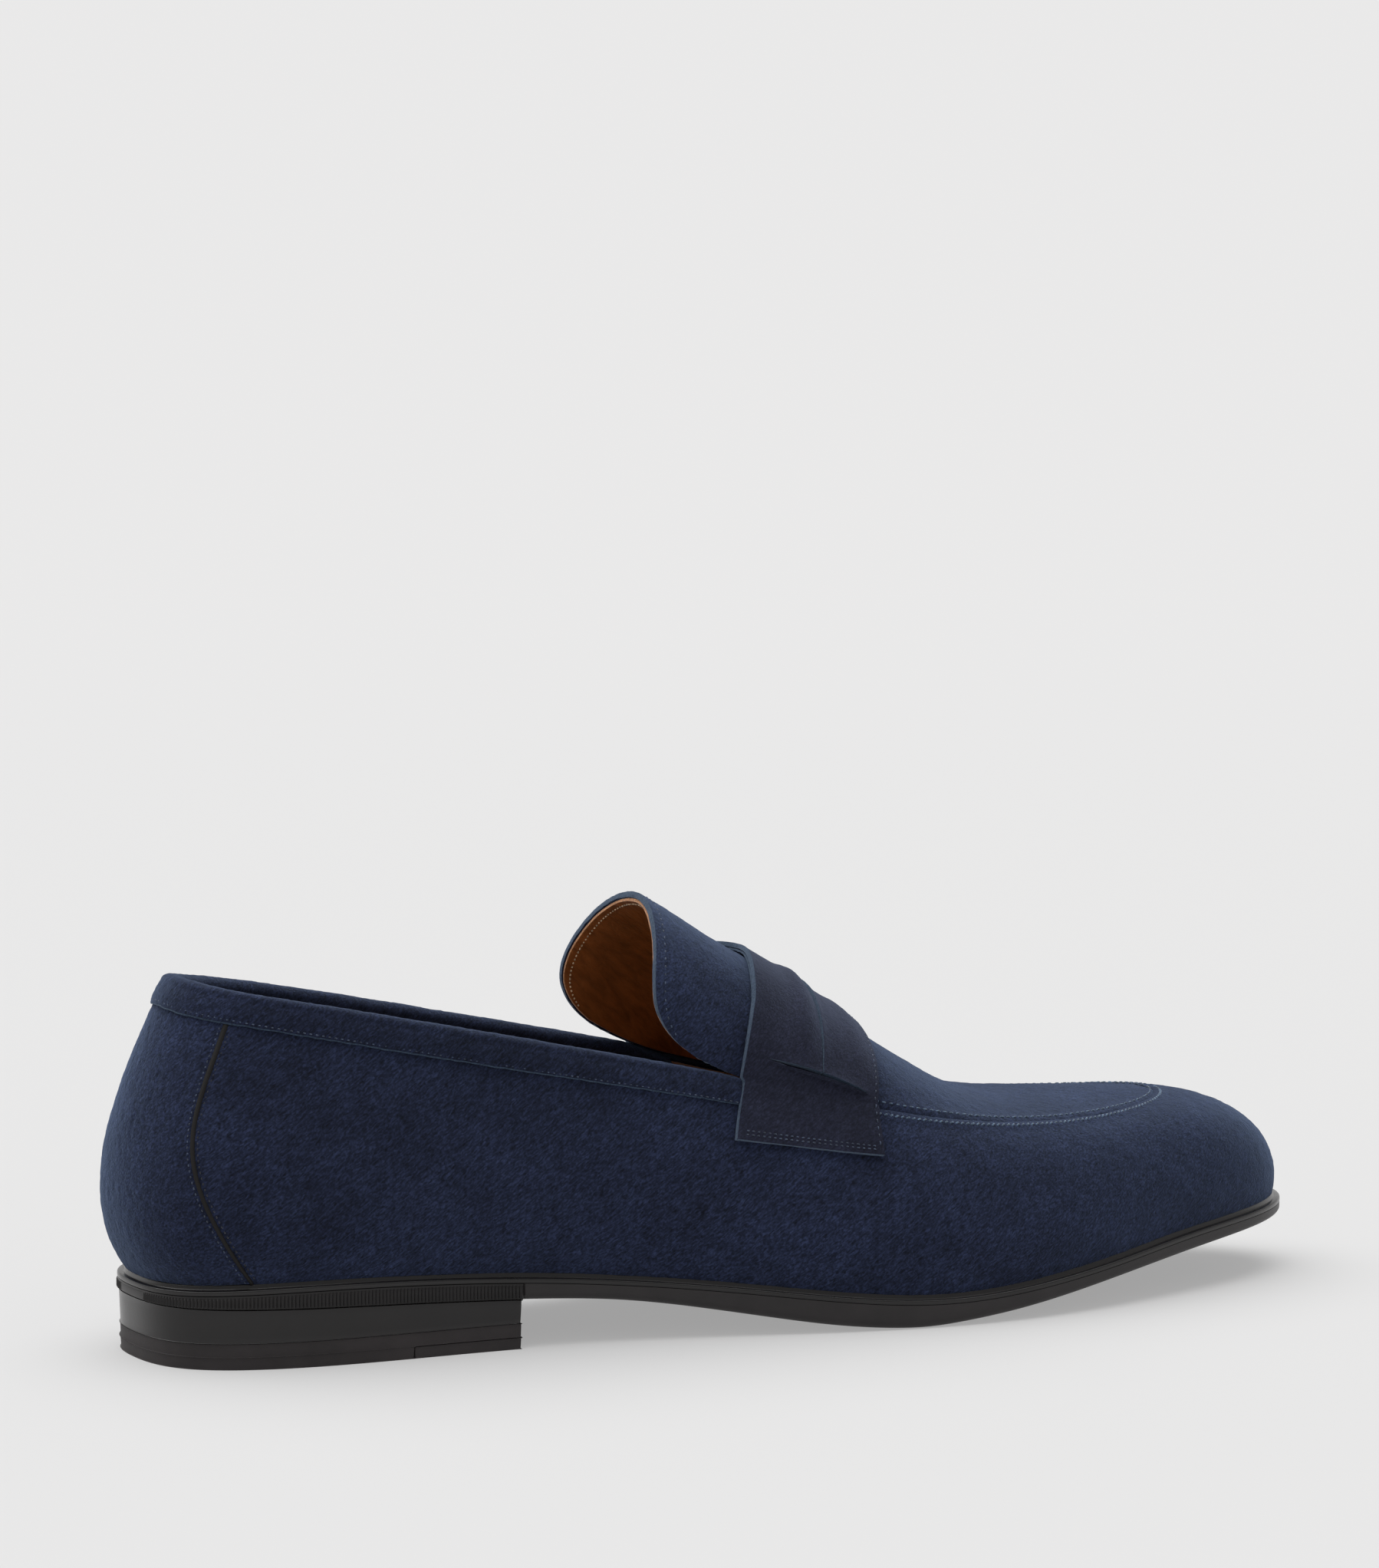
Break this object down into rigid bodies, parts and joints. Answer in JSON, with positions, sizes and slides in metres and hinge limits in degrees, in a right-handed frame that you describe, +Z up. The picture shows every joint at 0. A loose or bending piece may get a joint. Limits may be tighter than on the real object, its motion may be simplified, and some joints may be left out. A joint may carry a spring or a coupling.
{
  "type": "penny loafer",
  "caption": "Right-foot slip-on penny loafer: napped leather upper with apron, raised tongue and slotted saddle strap, piped heel counter, thin sole and low stacked heel.",
  "frame": {"origin": "middle of the heel's tread face, on the ground under the heel", "axes": "+X towards the toe, -Y the outer side of the foot, +Z up from the ground"},
  "size_m": [0.3099, 0.1007, 0.1013],
  "materials": {
    "suede": "navy suede, napped, matt with soft sheen",
    "strap_suede": "darker navy suede, finer nap",
    "piping": "very dark brown folded strip",
    "grip_suede": "near-black suede lining",
    "tan_lining": "smooth tan calf lining, satin",
    "stiffener": "thermoformed stiffener sheet",
    "interlining": "cotton backing cloth",
    "cork": "pressed cork sheet",
    "fibreboard": "cellulose board",
    "spring_steel": "blued spring steel",
    "foam": "latex foam",
    "sole_edge": "black, waxed and polished edge",
    "rand": "black, fine upright ribs, satin",
    "heel_stack": "black, waxed and polished",
    "tread_rubber": "black, matt",
    "nail_steel": "bright wire steel"
  },
  "bodies": {
    "root": {"vamp_wall": "suede", "heel_counter_cover": "suede", "apron_tongue": "suede", "saddle_strap": "strap_suede", "topline_binding": "suede", "seam_piping_outer": "piping", "seam_piping_inner": "piping", "strap_backing": "strap_suede", "heel_stiffener": "stiffener", "toe_puff": "stiffener", "interlining_outer": "interlining", "interlining_inner": "interlining", "heel_grip_lining": "grip_suede", "vamp_lining": "tan_lining", "tongue_lining": "tan_lining", "sock_lining": "tan_lining", "forefoot_filler": "cork", "heel_filler": "fibreboard", "waist_filler": "fibreboard", "shank": "spring_steel", "shank_rivets": "spring_steel", "insole_board": "fibreboard", "heel_pad": "foam", "welt": "sole_edge", "outsole": "sole_edge", "heel_rand": "rand", "heel_block": "heel_stack", "top_lift": "tread_rubber", "top_lift_insert": "tread_rubber", "heel_nails": "nail_steel", "heel_screw": "nail_steel"}
  },
  "joints": []
}
